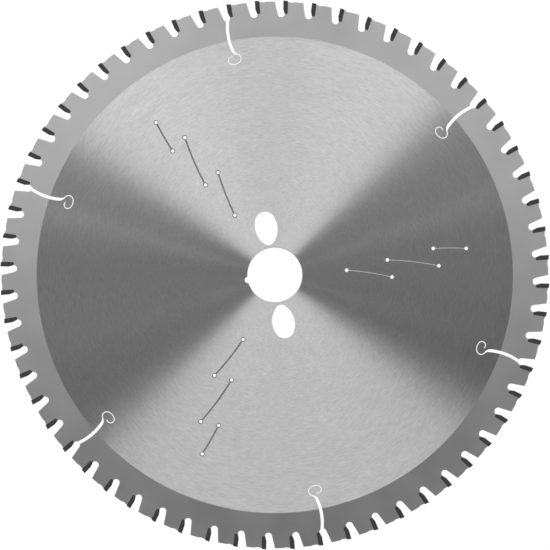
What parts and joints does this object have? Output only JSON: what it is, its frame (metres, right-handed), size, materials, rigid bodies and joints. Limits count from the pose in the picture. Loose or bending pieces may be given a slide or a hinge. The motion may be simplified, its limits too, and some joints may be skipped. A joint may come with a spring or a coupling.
{
  "type": "tct circular saw blade",
  "caption": "Round steel saw blade with carbide-tipped teeth, curled expansion slots, bowed damping cuts, a central bore and egg-shaped pin holes, for cutting on a circular saw.",
  "frame": {"origin": "centre of the bore, at the middle of the plate's thickness", "axes": "+Z along the bore axis, out of the face that the picture shows; +Y up and +X right in the picture"},
  "size_m": [0.2998, 0.2998, 0.0032],
  "materials": {
    "ground_steel": "circular ground, with a plain matt rim outside 260 mm",
    "carbide": "ground sintered carbide, dark grey",
    "braze": "silver solder, bright"
  },
  "bodies": {
    "root": {"blade_body": "ground_steel", "tip_pair_01": "carbide", "tip_pair_02": "carbide", "tip_pair_03": "carbide", "tip_pair_04": "carbide", "tip_pair_05": "carbide", "tip_pair_06": "carbide", "tip_pair_07": "carbide", "tip_pair_08": "carbide", "tip_pair_09": "carbide", "tip_pair_10": "carbide", "tip_pair_11": "carbide", "tip_pair_12": "carbide", "tip_pair_13": "carbide", "tip_pair_14": "carbide", "tip_pair_15": "carbide", "tip_pair_16": "carbide", "tip_pair_17": "carbide", "tip_pair_18": "carbide", "tip_pair_19": "carbide", "tip_pair_20": "carbide", "tip_pair_21": "carbide", "tip_pair_22": "carbide", "tip_pair_23": "carbide", "tip_pair_24": "carbide", "tip_pair_25": "carbide", "tip_pair_26": "carbide", "tip_pair_27": "carbide", "tip_pair_28": "carbide", "tip_pair_29": "carbide", "tip_pair_30": "carbide", "braze_sector_01": "braze", "braze_sector_02": "braze", "braze_sector_03": "braze", "braze_sector_04": "braze", "braze_sector_05": "braze", "braze_sector_06": "braze"}
  },
  "joints": []
}
